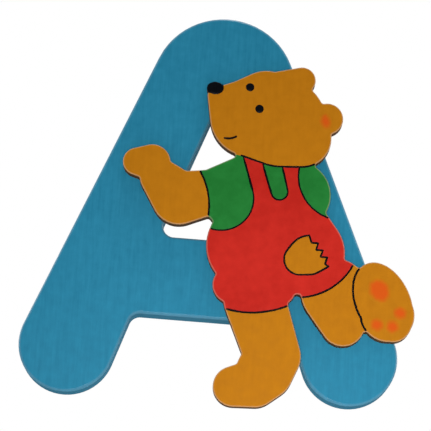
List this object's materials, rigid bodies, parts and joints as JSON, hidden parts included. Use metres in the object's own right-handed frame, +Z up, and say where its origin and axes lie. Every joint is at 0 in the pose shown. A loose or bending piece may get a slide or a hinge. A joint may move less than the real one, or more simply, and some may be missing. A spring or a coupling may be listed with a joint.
{
  "type": "wooden nursery letter",
  "caption": "Wooden wall letter with a rounded outline, painted blue, with a thin painted bear cut-out glued across its front and a flat back for sticking to a door.",
  "frame": {"origin": "on the flat back, on the letter's axis, in the middle of the crossbar", "axes": "+Z up the letter, +X to the reader's right, +Y out of the back, so the front faces -Y"},
  "size_m": [0.08, 0.0092, 0.0819],
  "materials": {
    "blue_paint": "satin blue paint over sanded wood, faint grain showing through",
    "ochre_paint": "satin ochre paint over sanded thin board",
    "glue": "dried wood glue",
    "green_print": "thin satin printed paint",
    "red_print": "thin satin printed paint",
    "orange_print": "soft airbrushed paint",
    "black_print": "thin printed paint"
  },
  "bodies": {
    "root": {"letter_board": "blue_paint", "bear_board": "ochre_paint", "glue_film": "glue", "shirt_print": "green_print", "dungarees_print": "red_print", "pads_print": "orange_print", "line_print": "black_print", "face_print": "black_print"}
  },
  "joints": []
}
